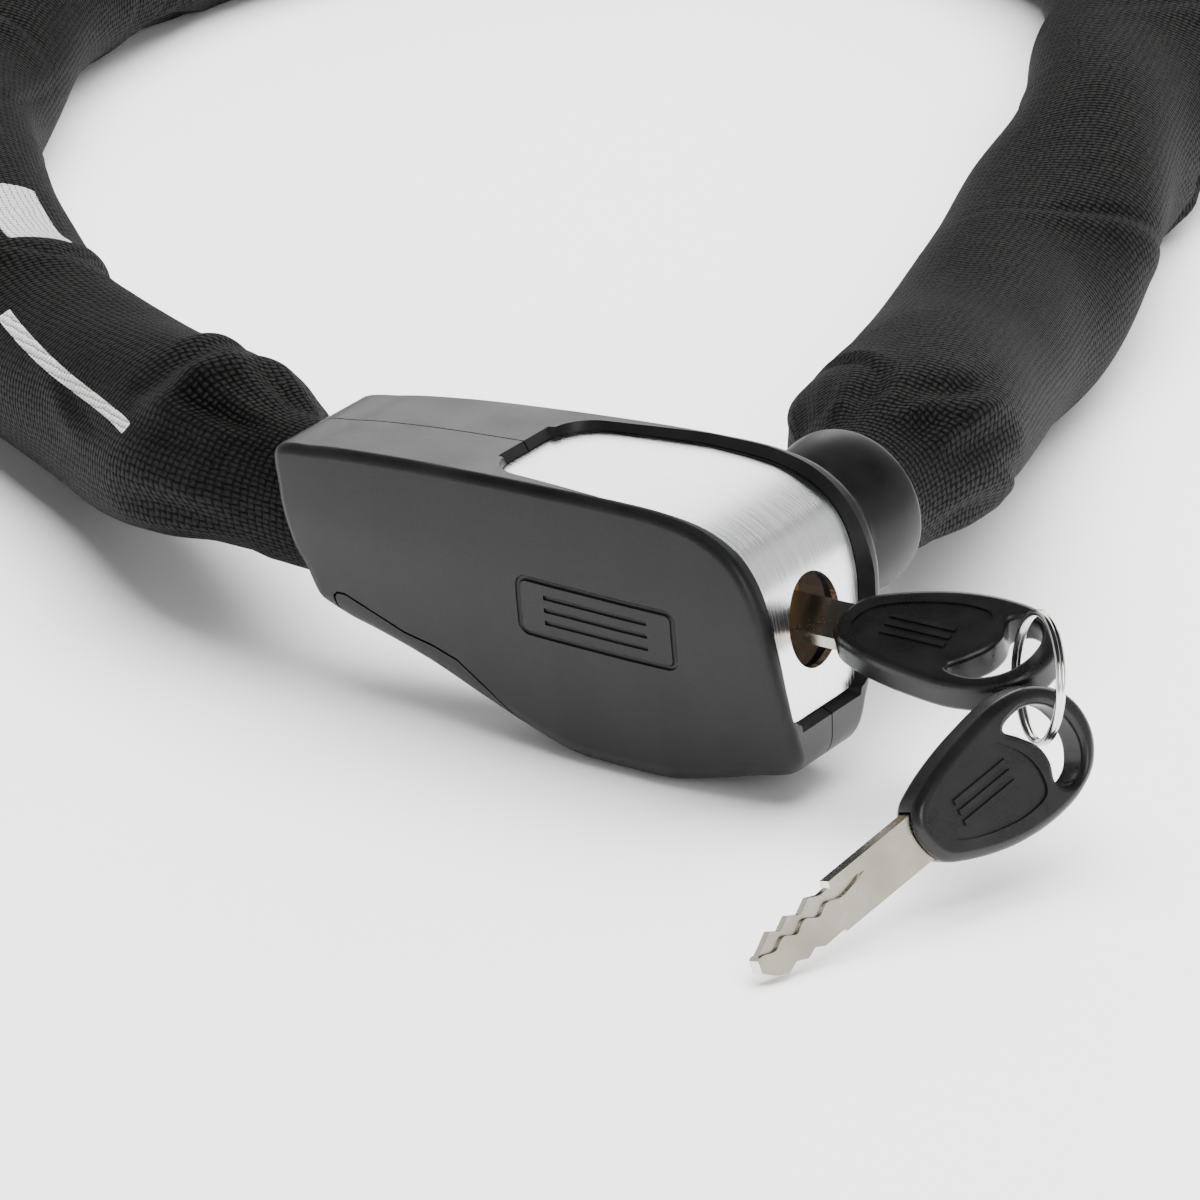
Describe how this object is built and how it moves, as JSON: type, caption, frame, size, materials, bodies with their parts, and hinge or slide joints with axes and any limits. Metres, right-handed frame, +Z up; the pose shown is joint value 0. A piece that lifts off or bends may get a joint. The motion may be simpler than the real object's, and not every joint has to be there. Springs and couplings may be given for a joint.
{
  "type": "chain lock",
  "caption": "Key-operated chain lock: wedge-shaped body with a steel faceplate, square-link chain in a woven sleeve ending in a plug that latches in its side, and two keys on a ring.",
  "frame": {"origin": "on the resting plane under the flat of the lock body's belly, in its mid-plane, 66 mm ahead of its rear end", "axes": "+X from the chain's fixed end to the keyhole, +Y to the side the plug enters, +Z up"},
  "size_m": [0.3898, 0.4865, 0.0501],
  "materials": {
    "moulded_shell": "fine matt moulded black",
    "brushed_steel": "brushed along the plate",
    "die_cast_zinc": "as cast",
    "hardened_steel": "ground",
    "cylinder_brass": "turned",
    "woven_sleeve": "coarse plain weave",
    "nickel_key": "nickel plated, cut edges rough",
    "key_bow_plastic": "satin moulded black",
    "ring_wire": "bright nickel",
    "collar_rubber": "smooth satin",
    "chain_steel": "dull plated"
  },
  "bodies": {
    "lock_body": {"left_shell": "moulded_shell", "right_shell": "moulded_shell", "belly_cover": "moulded_shell", "faceplate": "brushed_steel", "lock_core": "die_cast_zinc", "shell_screw_1": "hardened_steel", "shell_screw_2": "hardened_steel", "anchor_pin": "hardened_steel", "cylinder_housing": "cylinder_brass", "cylinder_clip": "hardened_steel", "socket_bush": "die_cast_zinc", "latch_spring": "hardened_steel", "sleeve": "woven_sleeve", "chain_link_01": "chain_steel", "chain_link_02": "chain_steel", "chain_link_03": "chain_steel", "chain_link_04": "chain_steel", "chain_link_05": "chain_steel", "chain_link_06": "chain_steel", "chain_link_07": "chain_steel", "chain_link_08": "chain_steel", "chain_link_09": "chain_steel", "chain_link_10": "chain_steel", "chain_link_11": "chain_steel", "chain_link_12": "chain_steel", "chain_link_13": "chain_steel", "chain_link_14": "chain_steel", "chain_link_15": "chain_steel", "chain_link_16": "chain_steel", "chain_link_17": "chain_steel", "chain_link_18": "chain_steel", "chain_link_19": "chain_steel", "chain_link_20": "chain_steel", "chain_link_21": "chain_steel", "chain_link_22": "chain_steel", "chain_link_23": "chain_steel", "chain_link_24": "chain_steel", "chain_link_25": "chain_steel"},
    "rotor": {"cylinder_plug": "cylinder_brass", "drive_cam": "hardened_steel", "wafer_1": "cylinder_brass", "wafer_2": "cylinder_brass", "wafer_3": "cylinder_brass", "wafer_4": "cylinder_brass"},
    "key_1": {"key_1_blade": "nickel_key", "key_1_bow": "key_bow_plastic"},
    "ring": {"key_ring": "ring_wire"},
    "key_2": {"key_2_blade": "nickel_key", "key_2_bow": "key_bow_plastic"},
    "latch_slide": {"latch": "hardened_steel"},
    "chain_end": {"end_bolt": "hardened_steel", "end_pin": "hardened_steel", "collar": "collar_rubber", "chain_link_28": "chain_steel"},
    "link_27": {"chain_link_27": "chain_steel"},
    "link_26": {"chain_link_26": "chain_steel"}
  },
  "joints": [
    {"name": "key_turn", "type": "hinge", "parent": "lock_body", "child": "rotor", "pos_m": [0, 0, 0.0295], "axis": [1, 0, 0], "range_deg": [-90, 0]},
    {"name": "key_withdraw", "type": "slide", "parent": "rotor", "child": "key_1", "axis": [1, 0, 0], "range_m": [0, 0.038]},
    {"name": "ring_swing", "type": "hinge", "parent": "key_1", "child": "ring", "pos_m": [0.07268, -0.00382, 0.02793], "axis": [1, 0, 0], "range_deg": [-8, 20]},
    {"name": "key_2_swing", "type": "hinge", "parent": "ring", "child": "key_2", "pos_m": [0.07716, -0.00876, 0.02215], "axis": [-0.8843, 0.3388, -0.3212], "range_deg": [-40, 30]},
    {"name": "latch_lift", "type": "slide", "parent": "lock_body", "child": "latch_slide", "axis": [0, 0, 1], "range_m": [-0.00341, 0], "deforming": ["latch_spring"]},
    {"name": "plug_pull", "type": "slide", "parent": "lock_body", "child": "chain_end", "axis": [0, 1, 0], "range_m": [0, 0.013], "deforming": ["sleeve"]},
    {"name": "link_27_follow", "type": "slide", "parent": "lock_body", "child": "link_27", "axis": [-0.0696, 0.9976, 0], "range_m": [0, 0.00863]},
    {"name": "link_26_follow", "type": "slide", "parent": "lock_body", "child": "link_26", "axis": [-0.0926, 0.9957, 0], "range_m": [0, 0.00433]}
  ],
  "couplings": [
    {"joint": "latch_lift", "follows": "key_turn", "m_per_rad": 0.0021645},
    {"joint": "link_27_follow", "follows": "plug_pull", "ratio": 0.66315},
    {"joint": "link_26_follow", "follows": "plug_pull", "ratio": 0.3322}
  ]
}
